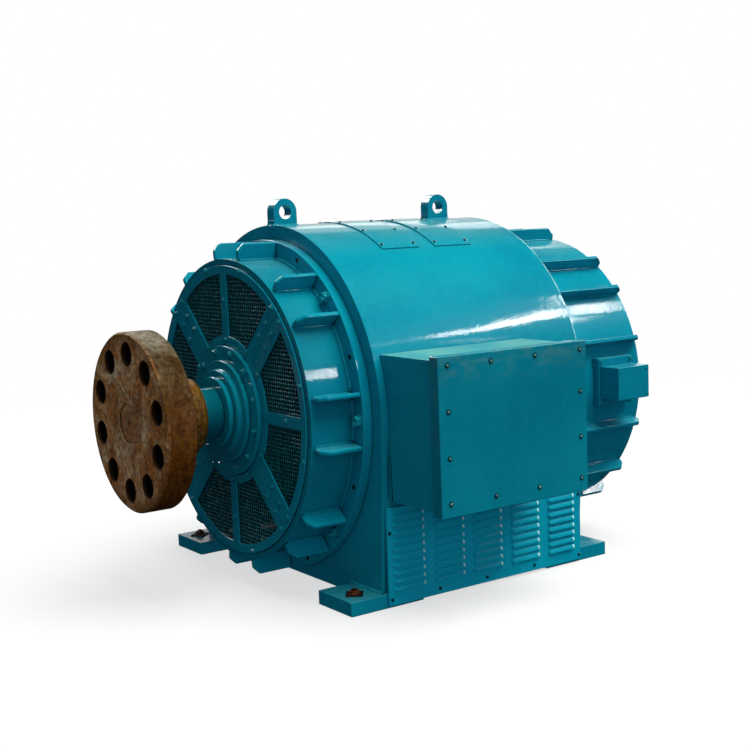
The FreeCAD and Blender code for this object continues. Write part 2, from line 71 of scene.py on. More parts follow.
# ------------------------------------------------------------------------------------------------
# material kit
# ------------------------------------------------------------------------------------------------
class Kit:
    def __init__(self, name):
        self.mat = bpy.data.materials.new(name)
        self.mat.use_nodes = True
        self.nt = self.mat.node_tree
        self.nt.nodes.clear()
        self.out = self.add("ShaderNodeOutputMaterial")
        self.bsdf = self.add("ShaderNodeBsdfPrincipled")
        self.nt.links.new(self.bsdf.outputs["BSDF"], self.out.inputs["Surface"])
        self.coord = self.add("ShaderNodeTexCoord").outputs["Object"]
        self.sep = None

    def add(self, kind, **props):
        n = self.nt.nodes.new(kind)
        for k, v in props.items():
            setattr(n, k, v)
        return n

    def put(self, socket, value):
        if hasattr(value, "is_output") or isinstance(value, bpy.types.NodeSocket):
            self.nt.links.new(value, socket)
        elif isinstance(value, (tuple, list)) and len(value) == 3 and socket.type == "RGBA":
            socket.default_value = (*value, 1.0)
        else:
            socket.default_value = value

    def math(self, op, a, b=0.0, clamp=False):
        n = self.add("ShaderNodeMath", operation=op, use_clamp=clamp)
        self.put(n.inputs[0], a)
        self.put(n.inputs[1], b)
        return n.outputs[0]

    def stretch(self, scale):
        n = self.add("ShaderNodeMapping")
        self.put(n.inputs["Vector"], self.coord)
        n.inputs["Scale"].default_value = scale
        return n.outputs["Vector"]

    def noise(self, scale, detail=2.0, rough=0.5, distort=0.0, vec=None):
        n = self.add("ShaderNodeTexNoise")
        self.put(n.inputs["Vector"], vec if vec is not None else self.coord)
        n.inputs["Scale"].default_value = scale
        n.inputs["Detail"].default_value = detail
        n.inputs["Roughness"].default_value = rough
        n.inputs["Distortion"].default_value = distort
        return n.outputs["Fac"]

    def band(self, value, lo, hi, out_lo=0.0, out_hi=1.0, smooth=True):
        n = self.add("ShaderNodeMapRange", interpolation_type="SMOOTHSTEP" if smooth else "LINEAR")
        self.put(n.inputs["Value"], value)
        n.inputs["From Min"].default_value = lo
        n.inputs["From Max"].default_value = hi
        n.inputs["To Min"].default_value = out_lo
        n.inputs["To Max"].default_value = out_hi
        return n.outputs["Result"]

    def mix(self, fac, a, b, blend="MIX"):
        n = self.add("ShaderNodeMix", data_type="RGBA", blend_type=blend)
        self.put(n.inputs[0], fac)
        self.put(n.inputs[6], a)
        self.put(n.inputs[7], b)
        return n.outputs[2]

    def xyz(self):
        if self.sep is None:
            self.sep = self.add("ShaderNodeSeparateXYZ")
            self.put(self.sep.inputs[0], self.coord)
        return self.sep.outputs

    def radius(self):
        x, y, z = self.xyz()
        dz = self.math("SUBTRACT", z, AXIS_Z)
        return self.math("SQRT", self.math("ADD", self.math("MULTIPLY", x, x), self.math("MULTIPLY", dz, dz)))

    def normal(self):
        g = self.add("ShaderNodeNewGeometry")
        s = self.add("ShaderNodeSeparateXYZ")
        self.put(s.inputs[0], g.outputs["Normal"])
        return s.outputs

    def up(self):
        return self.normal()[2]

    def vec(self, a, b, c):
        n = self.add("ShaderNodeCombineXYZ")
        for i, v in enumerate((a, b, c)):
            self.put(n.inputs[i], v)
        return n.outputs[0]

    def from_hole(self):
        """Distance from the axis of the nearest of the ten bolt holes of the coupling."""
        x, y, z = self.xyz()
        r = self.radius()
        turn = self.math("SUBTRACT", self.math("ARCTAN2", x, self.math("SUBTRACT", z, AXIS_Z)), HOLE_TURN)
        t = self.math("DIVIDE", turn, math.radians(36))
        a = self.math("MULTIPLY", self.math("SUBTRACT", t, self.math("ROUND", t)), math.radians(36))
        u = self.math("SUBTRACT", self.math("MULTIPLY", r, self.math("COSINE", a)), HOLE_CIRCLE)
        w = self.math("MULTIPLY", r, self.math("SINE", a))
        return self.math("SQRT", self.math("ADD", self.math("MULTIPLY", u, u), self.math("MULTIPLY", w, w)))

    def bump(self, height, distance, strength=1.0, under=None):
        n = self.add("ShaderNodeBump")
        n.inputs["Strength"].default_value = strength
        n.inputs["Distance"].default_value = distance
        self.put(n.inputs["Height"], height)
        if under is not None:
            self.put(n.inputs["Normal"], under)
        return n.outputs["Normal"]

    def done(self, colour, rough, normal=None, **fixed):
        self.put(self.bsdf.inputs["Base Color"], colour)
        self.put(self.bsdf.inputs["Roughness"], rough)
        if normal is not None:
            self.put(self.bsdf.inputs["Normal"], normal)
        for k, v in fixed.items():
            self.bsdf.inputs[k.replace("_", " ")].default_value = v
        return self.mat


TEAL = (0.0015, 0.305, 0.475)


def enamel(name, dust=0.12, dust_colour=(0.30, 0.46, 0.42), tone=1.0, wave=1.0, recess=None, upper_pale=0.0, corner_shade=0.5,
           coat=1.0, coat_rough=0.035, peel=1.0, spec=0.10):
    """Thick glossy brushed-and-sprayed enamel: slow tone drift, dust on upward faces, orange peel and slight waves."""
    k = Kit(name)
    base = tuple(c * tone for c in TEAL)
    deep = (base[0] * 0.7, base[1] * 0.86, base[2] * 0.90)
    lift = (base[0] * 1.2 + 0.0004, base[1] * 1.07, base[2] * 1.03)
    drift = k.band(k.noise(2.1, 3.0, 0.55), 0.34, 0.68)
    colour = k.mix(drift, deep, lift)
    mottle = k.band(k.noise(31.0, 4.0, 0.6), 0.42, 0.72)
    colour = k.mix(k.math("MULTIPLY", mottle, 0.26), colour, (base[0] + 0.0015, base[1] * 1.22, base[2] * 1.12))
    # settled dust where the surface looks up
    lie = k.band(k.up(), 0.80, 1.0)
    patch = k.band(k.noise(5.5, 5.0, 0.62, 0.6), 0.30, 0.72, 0.35, 1.0)
    film = k.math("MULTIPLY", k.math("MULTIPLY", lie, patch), dust, clamp=True)
    colour = k.mix(film, colour, dust_colour)
    if upper_pale > 0:
        # paler and grainy towards the upper edge of an upright panel
        x, y, z = k.xyz()
        high = k.band(z, 0.80, 0.93)
        grain = k.band(k.noise(16.0, 6.0, 0.7, 1.2, k.stretch((1.0, 0.6, 1.6))), 0.44, 0.66)
        colour = k.mix(k.math("MULTIPLY", k.math("MULTIPLY", high, grain), upper_pale, clamp=True), colour, (0.10, 0.30, 0.33))
    # painted shade: darker in tight corners, from ambient occlusion
    ao = k.add("ShaderNodeAmbientOcclusion", samples=4)
    ao.inputs["Distance"].default_value = 0.022
    corner = k.band(ao.outputs["AO"], 0.20, 0.75, 1.0, 0.0)
    colour = k.mix(k.math("MULTIPLY", corner, corner_shade), colour, (0.0015, 0.035, 0.055))
    # painted highlight: paler along rounded edges, found where the bevelled normal turns away
    bev = k.add("ShaderNodeBevel", samples=4)
    bev.inputs["Radius"].default_value = 0.0042
    geo = k.add("ShaderNodeNewGeometry")
    dot = k.add("ShaderNodeVectorMath", operation="DOT_PRODUCT")
    k.put(dot.inputs[0], bev.outputs["Normal"])
    k.put(dot.inputs[1], geo.outputs["Normal"])
    edge = k.band(dot.outputs["Value"], 0.985, 0.90)
    colour = k.mix(k.math("MULTIPLY", edge, 0.42), colour, (0.030, 0.50, 0.60))
    rough = k.band(k.noise(9.0, 4.0, 0.6), 0.3, 0.7, 0.22, 0.32)
    rough = k.math("ADD", rough, k.math("MULTIPLY", film, 0.5))
    if recess is not None:
        # painted shade: near-black inside the ventilation recess, behind the wire screens
        r_in, y_face, sign = recess
        x, y, z = k.xyz()
        within = k.math("LESS_THAN", k.radius(), r_in)
        behind = k.math("GREATER_THAN", y, y_face) if sign < 0 else k.math("LESS_THAN", y, y_face)
        mask = k.math("MULTIPLY", within, behind)
        recess_shade = k.mix(k.band(k.noise(7.0, 3.0), 0.35, 0.7), (0.0015, 0.004, 0.006), (0.003, 0.012, 0.020))
        colour = k.mix(mask, colour, recess_shade)
        rough = k.math("ADD", rough, k.math("MULTIPLY", mask, 0.6), clamp=True)
    n1 = k.bump(k.noise(7.5, 1.0, 0.4), 0.0006 * wave)
    n2 = k.bump(k.noise(55.0, 1.0, 0.5), 0.00008 * wave, under=n1)
    n3 = k.bump(k.noise(130.0, 1.0, 0.5), 0.000085 * peel, under=n2)
    # orange peel breaks the gloss into grains
    if coat > 0:
        k.put(k.bsdf.inputs["Coat Weight"], k.band(k.noise(150.0, 2.0, 0.6), 0.36, 0.56, 0.35 * coat, coat))
        k.put(k.bsdf.inputs["Coat Normal"], n3)
    return k.done(colour, rough, n2, Specular_IOR_Level=spec, Coat_Roughness=coat_rough, Coat_IOR=1.5)


def rusty_steel(name):
    """Machined forging that has stood outside: mottled grey-brown face, greyer on top of the rim, ochre below,
    bolt holes dark inside with painted shade, turning marks round the face and along the hub; the face is made pale as
    painted light."""
    k = Kit(name)
    x, y, z = k.xyz()
    r = k.radius()
    blot = k.band(k.noise(7.0, 9.0, 0.74, 0.9), 0.42, 0.60)
    fine = k.band(k.noise(55.0, 7.0, 0.80, 0.3), 0.42, 0.62)
    smear = k.band(k.noise(13.0, 8.0, 0.74, 1.8), 0.45, 0.60)
    # rim and hub
    rim = k.mix(blot, (0.058, 0.030, 0.008), (0.125, 0.088, 0.048))
    low = k.band(z, 0.98, 0.52)
    share = k.math("MULTIPLY", low, k.band(k.noise(5.0, 7.0, 0.7, 0.5, k.stretch((1.0, 2.2, 1.0))), 0.16, 0.46))
    ochre = k.mix(smear, (0.205, 0.064, 0.0003), (0.150, 0.032, 0.0003))
    rim = k.mix(share, rim, ochre)
    rim = k.mix(k.math("MULTIPLY", k.band(z, 0.92, 1.0), k.band(k.noise(9.0, 8.0, 0.72, 0.5), 0.34, 0.58)), rim, (0.250, 0.215, 0.175))
    hub = k.math("LESS_THAN", r, 0.170)
    groove = k.band(k.noise(150.0, 2.0, 0.5, 0.0, k.vec(0.0, y, 0.0)), 0.40, 0.60)
    rim = k.mix(hub, rim, k.mix(groove, (0.060, 0.028, 0.003), (0.230, 0.120, 0.008)))
    # the face: rust and turning marks, in colours paler than the rust itself, painted light for light the face lacks
    face_c = k.mix(blot, (0.480, 0.165, 0.040), (1.0, 0.690, 0.430))
    face_c = k.mix(k.math("MULTIPLY", smear, 0.80), face_c, (0.860, 0.300, 0.045))
    edge_rust = k.math("MULTIPLY", k.band(r, 0.27, 0.335), k.band(k.noise(6.0, 6.0, 0.7, 0.8), 0.36, 0.58))
    face_c = k.mix(edge_rust, face_c, (0.330, 0.135, 0.025))
    turned = k.band(k.noise(120.0, 2.0, 0.5, 0.0, k.vec(r, 0.0, 0.0)), 0.42, 0.60)
    face_c = k.mix(k.math("MULTIPLY", k.math("MULTIPLY", turned, k.band(r, 0.20, 0.06)), 0.5), face_c, (0.300, 0.210, 0.150))
    face = k.band(k.normal()[1], -0.55, -0.85)
    colour = k.mix(face, rim, face_c)
    colour = k.mix(k.math("MULTIPLY", fine, 0.80), colour, (0.26, 0.20, 0.16), "MULTIPLY")
    pale = k.band(k.noise(30.0, 8.0, 0.78, 0.6), 0.57, 0.70)
    colour = k.mix(k.math("MULTIPLY", k.math("MULTIPLY", pale, 0.5), k.band(z, 0.50, 0.95, 0.10, 1.0)), colour, (0.46, 0.40, 0.34))
    # bolt holes: a rubbed lip, then painted shade, darker with depth inside
    d = k.from_hole()
    lip = k.math("MULTIPLY", k.band(d, HOLE_R + 0.0075, HOLE_R + 0.001), face)
    colour = k.mix(k.math("MULTIPLY", lip, 0.45), colour, (0.150, 0.070, 0.025))
    inside = k.math("LESS_THAN", d, HOLE_R + 0.0006)
    depth = k.band(k.math("SUBTRACT", y, COUPLING_FACE), 0.0, 0.020)
    colour = k.mix(inside, colour, k.mix(depth, (0.070, 0.030, 0.012), (0.010, 0.0045, 0.0025)))
    # painted shade: darker in corners and hollows, from ambient occlusion
    ao = k.add("ShaderNodeAmbientOcclusion", samples=6)
    ao.inputs["Distance"].default_value = 0.03
    colour = k.mix(k.math("MULTIPLY", k.band(ao.outputs["AO"], 0.25, 0.62, 1.0, 0.0), 0.85), colour, (0.008, 0.004, 0.003))
    rough = k.band(k.noise(17.0, 6.0, 0.7), 0.3, 0.7, 0.42, 0.80)
    n1 = k.bump(k.noise(19.0, 6.0, 0.65), 0.0020)
    n2 = k.bump(k.noise(120.0, 5.0, 0.7), 0.00060, under=n1)
    n3 = k.bump(k.noise(240.0, 1.0, 0.5, 0.0, k.vec(r, 0.0, 0.0)), 0.00025, under=n2)
    return k.done(colour, rough, n3, Metallic=0.1, Specular_IOR_Level=0.22)


def plain(name, a, b, scale, rough=(0.35, 0.6), metal=0.0, grain=0.00015, **fixed):
    k = Kit(name)
    colour = k.mix(k.band(k.noise(scale, 5.0, 0.6, 0.4), 0.34, 0.68), a, b)
    r = k.band(k.noise(scale * 2.3, 4.0, 0.6), 0.3, 0.7, rough[0], rough[1])
    n = k.bump(k.noise(scale * 9.0, 3.0, 0.6), grain)
    return k.done(colour, r, n, Metallic=metal, **fixed)


M_ENAMEL = enamel("enamel_gloss")
M_SKIN = enamel("enamel_gloss_frame", dust=0.16, wave=1.1, corner_shade=0.2, peel=1.7)
M_PANEL = enamel("enamel_panel", dust=0.10, wave=0.5, corner_shade=0.25)
# painted light: lighter copies of the enamel for the side panels and louvres, for light falling on them
M_SIDE = enamel("enamel_side_panel", dust=0.10, wave=0.5, corner_shade=0.25, tone=1.42)
M_LOUVRE = enamel("enamel_louvre", dust=0.0, wave=0.5, corner_shade=0.6, tone=1.25, coat=0.0, coat_rough=0.20, spec=0.05)
M_THICK = enamel("enamel_thick_runs", wave=2.6, corner_shade=0.6)
M_NOSE = enamel("enamel_shaded_nose", dust=0.0, wave=2.0, corner_shade=0.6, tone=0.48)
# painted shade: a darker copy of the enamel for the box cover
M_COVER = enamel("enamel_box_cover", dust=0.25, wave=0.45, upper_pale=0.55, tone=0.82, peel=1.3)
M_DUSTY = enamel("enamel_dusty", dust=0.60, dust_colour=(0.26, 0.55, 0.48), wave=0.6, coat=0.2, coat_rough=0.25)
# painted shade: a darker copy of the enamel for the drive-end casting
M_DE_CAST = enamel("enamel_casting_drive_end", tone=0.80, wave=0.5, peel=1.6, recess=(0.5585, -0.7035, -1))
M_NDE_CAST = enamel("enamel_casting_far_end", wave=0.5, peel=2.0, recess=(0.5585, 0.9025, 1))
M_RUST = rusty_steel("rusty_forging")
M_SHAFT = rusty_steel("bare_shaft_end")
M_WIRE = plain("painted_wire", (0.002, 0.150, 0.205), (0.010, 0.330, 0.420), 40.0, (0.25, 0.4), Coat_Weight=0.6)
# painted shade: near-black for mouths, holes and gaps that lie in shade
M_PAINTED_SHADE = plain("painted_shade_dark", (0.0015, 0.004, 0.006), (0.004, 0.010, 0.013), 30.0, (0.8, 0.95))
M_BOLT = plain("painted_bolt", (0.002, 0.19, 0.28), (0.006, 0.34, 0.47), 45.0, (0.18, 0.34), 0.0, 0.0001, Coat_Weight=0.4)
M_RUSTBOLT = plain("rusted_bolt", (0.22, 0.060, 0.012), (0.05, 0.022, 0.012), 60.0, (0.6, 0.85), 0.1, 0.0006)
M_RUSTDARK = plain("rusted_washer", (0.045, 0.018, 0.010), (0.012, 0.008, 0.006), 70.0, (0.7, 0.9), 0.1, 0.0006)
M_ZINC_GLINT = plain("zinc_head_painted_glint", (0.12, 0.30, 0.36), (0.40, 0.60, 0.64), 90.0, (0.15, 0.30), 0.2, 0.0001, Coat_Weight=1.0)
# painted highlight: pale cyan for glints on the louvre ends and the far end plate's rim
M_PAINTED_GLINT = plain("painted_glint_edge", (0.28, 0.72, 0.80), (0.62, 0.92, 0.96), 70.0, (0.2, 0.35), 0.0, 0.0001)
M_BLACK = plain("dark_painted_screw", (0.001, 0.040, 0.062), (0.003, 0.100, 0.140), 60.0, (0.10, 0.2), 0.0, 0.00005, Coat_Weight=1.0, Coat_Roughness=0.05)

# ------------------------------------------------------------------------------------------------
# finishes of the CAD nodes, with softened edges
# ------------------------------------------------------------------------------------------------
FINISH = {
    "frame_shell": M_SKIN, "frame_front_plate": M_ENAMEL, "frame_rear_plate": M_ENAMEL,
    "louver_panel_right": M_SIDE, "louver_panel_left": M_SIDE,
    "de_bearing_cover": M_THICK, "de_bearing_cap": M_THICK, "de_shaft_seal": M_NOSE,
    "top_cover_front": M_SKIN, "top_cover_rear": M_SKIN,
    "terminal_box_body": M_DUSTY, "terminal_box_cover": M_COVER,
    "aux_box_base": M_PANEL, "aux_box_cover": M_PANEL,
    "de_shield_casting": M_DE_CAST, "nde_shield_casting": M_NDE_CAST,
    "rotor_shaft": M_SHAFT, "coupling_flange": M_RUST,
    "de_wire_mesh": M_WIRE, "nde_wire_mesh": M_WIRE,
}
ROUND = {
    "terminal_box_cover": 0.0035, "terminal_box_body": 0.003, "aux_box_cover": 0.003, "aux_box_base": 0.003,
    "foot_front_right": 0.004, "foot_front_left": 0.004, "foot_rear_right": 0.004, "foot_rear_left": 0.004,
    "frame_front_plate": 0.0030, "frame_rear_plate": 0.0042, "lifting_eye_front": 0.006, "lifting_eye_rear": 0.006,
    "louver_panel_right": 0.002, "louver_panel_left": 0.002, "de_shield_ribs": 0.006, "nde_shield_ribs": 0.004,
    "de_shield_casting": 0.005, "nde_shield_casting": 0.004, "de_bearing_flange": 0.004, "de_bearing_cover": 0.005,
    "de_bearing_cap": 0.005, "de_shaft_seal": 0.005, "de_mating_flange": 0.003, "nde_mating_flange": 0.003,
}
for name, o in NODES.items():
    m = FINISH.get(name, M_ENAMEL)
    o.data.materials.clear()
    o.data.materials.append(m)
    if name in ("de_wire_mesh", "nde_wire_mesh", "coupling_flange", "frame_shell"):
        continue
    w = o.modifiers.new("weld", "WELD")
    w.merge_threshold = 0.00002
    d = o.modifiers.new("planes", "DECIMATE")
    d.decimate_type = "DISSOLVE"
    d.angle_limit = math.radians(0.4)
    b = o.modifiers.new("edges", "BEVEL")
    b.width = ROUND.get(name, 0.0022)
    b.segments = 3 if name in ROUND else 2
    b.limit_method = "ANGLE"
    b.angle_limit = math.radians(38)
    b.harden_normals = False
    b.use_clamp_overlap = True
    # the large faces keep their own shading, the narrow bevels take the turn
    wn = o.modifiers.new("shading", "WEIGHTED_NORMAL")
    wn.mode = "FACE_AREA"
    wn.weight = 100
    wn.keep_sharp = False


# ------------------------------------------------------------------------------------------------
# mesh kit
# ------------------------------------------------------------------------------------------------
class Soup:
    """Collects faces of many like pieces and makes one joined mesh."""

    def __init__(self):
        self.v, self.f, self.m = [], [], []

    def add(self, verts, faces, mat=0):
        k = len(self.v)
        self.v.extend(verts)
        self.f.extend([tuple(k + i for i in f) for f in faces])
        self.m.extend([mat] * len(faces))

    def loft(self, rings, mat=0, cap_lo=True, cap_hi=True, closed=True):
        """Skins a row of rings, each the same number of points, turning the same way round."""
        n = len(rings[0])
        verts = [p for r in rings for p in r]
        faces = []
        for i in range(len(rings) - 1):
            for j in range(n if closed else n - 1):
                a, b = i * n + j, i * n + (j + 1) % n
                faces.append((a, b, b + n, a + n))
        if cap_lo:
            faces.append(tuple(reversed(range(n))))
        if cap_hi:
            faces.append(tuple((len(rings) - 1) * n + j for j in range(n)))
        self.add(verts, faces, mat)

    def make(self, name, mats, body, angle=32.0):
        me = bpy.data.meshes.new(name)
        me.from_pydata([tuple(p) for p in self.v], [], self.f)
        for m in mats:
            me.materials.append(m)
        me.polygons.foreach_set("material_index", self.m)
        bm = bmesh.new()
        bm.from_mesh(me)
        bmesh.ops.recalc_face_normals(bm, faces=bm.faces)
        bm.to_mesh(me)
        bm.free()
        me.shade_smooth()
        me.set_sharp_from_angle(angle=math.radians(angle))
        o = bpy.data.objects.new(name, me)
        bpy.context.scene.collection.objects.link(o)
        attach(o, body)
        return o


def axes(n):
    n = Vector(n).normalized()
    u = n.cross(Vector((0, 0, 1)))
    if u.length < 0.2:
        u = n.cross(Vector((0, 1, 0)))
    u.normalize()
    return u, n.cross(u).normalized(), n


def ring(p, u, v, r, n, phase=0.0):
    return [p + u * (r * math.cos(phase + 2 * math.pi * i / n)) + v * (r * math.sin(phase + 2 * math.pi * i / n))
            for i in range(n)]


def hexbolt(s, p, n, af, h, washer=None, wt=0.0025, mat=0, turn=None):
    """Hexagon head with chamfered top on a washer."""
    p = Vector(p)
    u, v, n = axes(n)
    t = rnd.uniform(0, math.pi / 3) if turn is None else turn
    if washer:
        s.loft([ring(p + n * a, u, v, r, 20) for a, r in
                ((-0.001, washer), (wt * 0.7, washer), (wt, washer - wt * 0.35))], mat)
    else:
        wt = 0.0
    R = af / math.sqrt(3)
    s.loft([ring(p + n * a, u, v, r, 6, t) for a, r in
            ((wt - 0.0005, R), (wt + h * 0.80, R), (wt + h, R * 0.84))], mat)


def panhead(s, p, n, r, h, mat=0, dimple=True):
    """Domed screw head with a small socket in the middle."""
    p = Vector(p)
    u, v, n = axes(n)
    rows = [(-0.001, r), (h * 0.25, r), (h * 0.62, r * 0.90), (h * 0.88, r * 0.68), (h, r * 0.42)]
    if dimple:
        rows += [(h, r * 0.36), (h * 0.45, r * 0.30)]
    s.loft([ring(p + n * a, u, v, q, 14) for a, q in rows], mat)


def polar(deg_from_top, r, y):
    a = math.radians(deg_from_top)
    return Vector((r * math.sin(a), y, AXIS_Z + r * math.cos(a)))


def bead(s, path, r, closed=False, mat=0, pitch=0.006, seed=1):
    """A run of weld: an uneven rippled tube laid along a path of points."""
    rr = random.Random(seed)
    pts = [Vector(p) for p in path]
    if closed:
        pts.append(pts[0].copy())
    fine = []
    for a, b in zip(pts, pts[1:]):
        steps = max(1, int(round((b - a).length / (pitch / 2))))
        fine += [(a + (b - a) * (i / steps)) for i in range(steps)]
    if not closed:
        fine.append(pts[-1])
    rings = []
    n = len(fine)
    for i, p in enumerate(fine):
        q = fine[(i + 1) % n] if (closed or i < n - 1) else p
        o = fine[i - 1] if (closed or i > 0) else p
        t = (q - o).normalized()
        u, v, _ = axes(t)
        k = r * ((1.06 if i % 2 else 0.86) + rr.uniform(-0.07, 0.07))
        rings.append(ring(p, u, v, k, 7))
    if closed:
        # keep the rings turning with their neighbours round the corners
        rings.append(rings[0])
        s.loft(rings, mat, False, False)
    else:
        s.loft(rings, mat)


# ------------------------------------------------------------------------------------------------
# woven wire screens, in the four openings of each end
# ------------------------------------------------------------------------------------------------
def woven(name, node, pitch=0.0150, wire=0.0014, r_in=0.253, r_out=0.556, half_bar=0.010):
    s = Soup()
    lo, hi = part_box(node)
    y_mid = (lo.y + hi.y) / 2

    def inside(x, z, k):
        r = math.hypot(x, z)
        if not r_in < r < r_out:
            return False
        a = math.radians(90 * k)  # the sector's own middle line, from the top
        along, across = x * math.sin(a) + z * math.cos(a), x * math.cos(a) - z * math.sin(a)
        return along - abs(across) > half_bar * 1.414

    def run(k, fixed, horizontal, row):
        step = 0.002
        n = int(2 * r_out / step) + 1
        spans, open_at = [], None
        for i in range(n + 1):
            c = -r_out + i * step
            ok = inside(c, fixed, k) if horizontal else inside(fixed, c, k)
            if ok and open_at is None:
                open_at = c
            if not ok and open_at is not None:
                spans.append((open_at, c - step))
                open_at = None
        for a, b in spans:
            if b - a < 0.006:
                continue
            js = range(math.ceil((a + 0.001) / pitch), math.floor((b - 0.001) / pitch) + 1)
            stops = [(a, 0.0)] + [(j * pitch, (1 if (j + row) % 2 else -1) * (1 if horizontal else -1)) for j in js] + [(b, 0.0)]
            rings = []
            for c, side in stops:
                p = Vector((c, y_mid + side * wire * 0.6, AXIS_Z + fixed)) if horizontal else \
                    Vector((fixed, y_mid + side * wire * 0.6, AXIS_Z + c))
                w = Vector((0, 0, 1)) if horizontal else Vector((1, 0, 0))
                rings.append([p + Vector((0, wire, 0)), p + w * wire, p - Vector((0, wire, 0)), p - w * wire])
            s.loft(rings)

    rows = int(r_out / pitch) + 1
    for k in range(4):
        for j in range(-rows, rows + 1):
            run(k, j * pitch, True, j)
            run(k, j * pitch, False, j)
    o = s.make(name, [M_WIRE], "stator", 180)
    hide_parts(node)
    return o


woven("de_woven_screens", "de_wire_mesh")
woven("nde_woven_screens", "nde_wire_mesh")

# ------------------------------------------------------------------------------------------------
# louvre pressings in the side panels
# ------------------------------------------------------------------------------------------------
LOUVRES = ((0.019, 0.165), (0.207, 0.350), (0.390, 0.534), (0.577, 0.722), (0.767, 0.907))  # from the panel's front edge


def louvres(name, side):
    s = Soup()
    face = PANEL_HI.x * side
    tall, deep = 0.0185, 0.0085
    nu, prof = 16, ((1.0, 0.0), (0.86, 0.30), (0.66, 0.62), (0.42, 0.87), (0.18, 0.99), (0.03, 1.0), (0.0, 0.92))
    for a, b in LOUVRES:
        y0, y1 = PANEL_LO.y + a, PANEL_LO.y + b
        for k in range(10):
            z = PANEL_LO.z + 0.060 + 0.0295 * k
            wide = y1 - y0
            end = 0.011
            cols = []
            for i in range(nu + 1):
                # closer columns near the two rounded ends
                t = 0.5 - 0.5 * math.cos(math.pi * i / nu)
                yy = y0 + wide * t
                d = min(yy - y0, y1 - yy)
                e = math.sqrt(max(0.0, 1 - (1 - min(1.0, d / end)) ** 2))
                col = []
                for v, o in prof:
                    col.append(Vector((face + side * (deep * o * e - 0.0006), yy, z + tall * (v - 0.5) * (0.35 + 0.65 * e))))
                # under the lip, back to the panel: the mouth of the louvre, dark with painted shade
                col.append(Vector((face + side * (deep * 0.30 * e - 0.0006), yy, z - tall * 0.5 * (0.35 + 0.65 * e) + 0.0014)))
                col.append(Vector((face - side * 0.0006, yy, z - tall * 0.5 * (0.35 + 0.65 * e) + 0.0018)))
                cols.append(col)
            n = len(cols[0])
            verts = [p for c in cols for p in c]
            faces, mouth, glint_quads = [], [], []
            for i in range(nu):
                for j in range(n - 1):
                    q = (i * n + j, i * n + j + 1, (i + 1) * n + j + 1, (i + 1) * n + j)
                    # painted glint on the outer corner of each pressing
                    (mouth if j >= n - 3 else glint_quads if i in (nu - 3, nu - 2) and 1 <= j <= 3 else faces).append(q)
            k0 = len(s.v)
            s.v.extend(verts)
            for q in faces:
                s.f.append(tuple(k0 + i for i in q))
                s.m.append(0)
            for q in mouth:
                s.f.append(tuple(k0 + i for i in q))
                s.m.append(1)
            for q in glint_quads:
                s.f.append(tuple(k0 + i for i in q))
                s.m.append(2)
    return s.make(name, [M_LOUVRE, M_PAINTED_SHADE, M_PAINTED_GLINT], "stator", 50)


louvres("louvre_pressings_right", 1)
louvres("louvre_pressings_left", -1)

# ------------------------------------------------------------------------------------------------
# screws and bolts
# ------------------------------------------------------------------------------------------------
# terminal box cover: pale zinc heads, made paler as painted highlight, on dark washers that stand in for the shade
# round each screw as painted shade
s = Soup()
for a, b in ((0.040, 0.520), (0.040, 0.363), (0.040, 0.204), (0.040, 0.048), (0.646, 0.520), (0.646, 0.369),
             (0.646, 0.203), (0.646, 0.050), (0.230, 0.518), (0.431, 0.518), (0.240, 0.047), (0.440, 0.047)):
    p = Vector((COVER_HI.x, COVER_LO.y + a, COVER_LO.z + b))
    u, v, n = axes((1, 0, 0))
    s.loft([ring(p + n * a, u, v, r, 20) for a, r in ((-0.001, 0.0104), (0.0010, 0.0104), (0.0018, 0.0096))], 1)
    panhead(s, p + n * 0.001, n, 0.0046, 0.0046)
s.make("terminal_cover_screws", [M_ZINC_GLINT, M_BLACK], "stator")

# inspection covers on the crown
s = Soup()
for y in (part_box("top_cover_front")[LO].y + 0.012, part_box("top_cover_front")[HI].y - 0.014,
          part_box("top_cover_rear")[LO].y + 0.015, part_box("top_cover_rear")[HI].y - 0.016):
    for a in (-29.8, -19.2, -6.0, 6.0, 19.2, 29.8):
        p = polar(a, CROWN_R - 0.0002, y)
        panhead(s, p, p - Vector((0, y, AXIS_Z)), 0.0075, 0.0045)
s.make("crown_cover_screws", [M_BLACK], "stator")

# side panels
s = Soup()
for side in (1, -1):
    for a, b in ((0.012, 0.021), (0.229, 0.021), (0.455, 0.021), (0.693, 0.021), (0.930, 0.021), (0.009, 0.266),
                 (0.931, 0.266)):
        panhead(s, (PANEL_HI.x * side, PANEL_LO.y + a, PANEL_LO.z + b), (side, 0, 0), 0.0072, 0.004)
s.make("side_panel_screws", [M_BLACK], "stator")


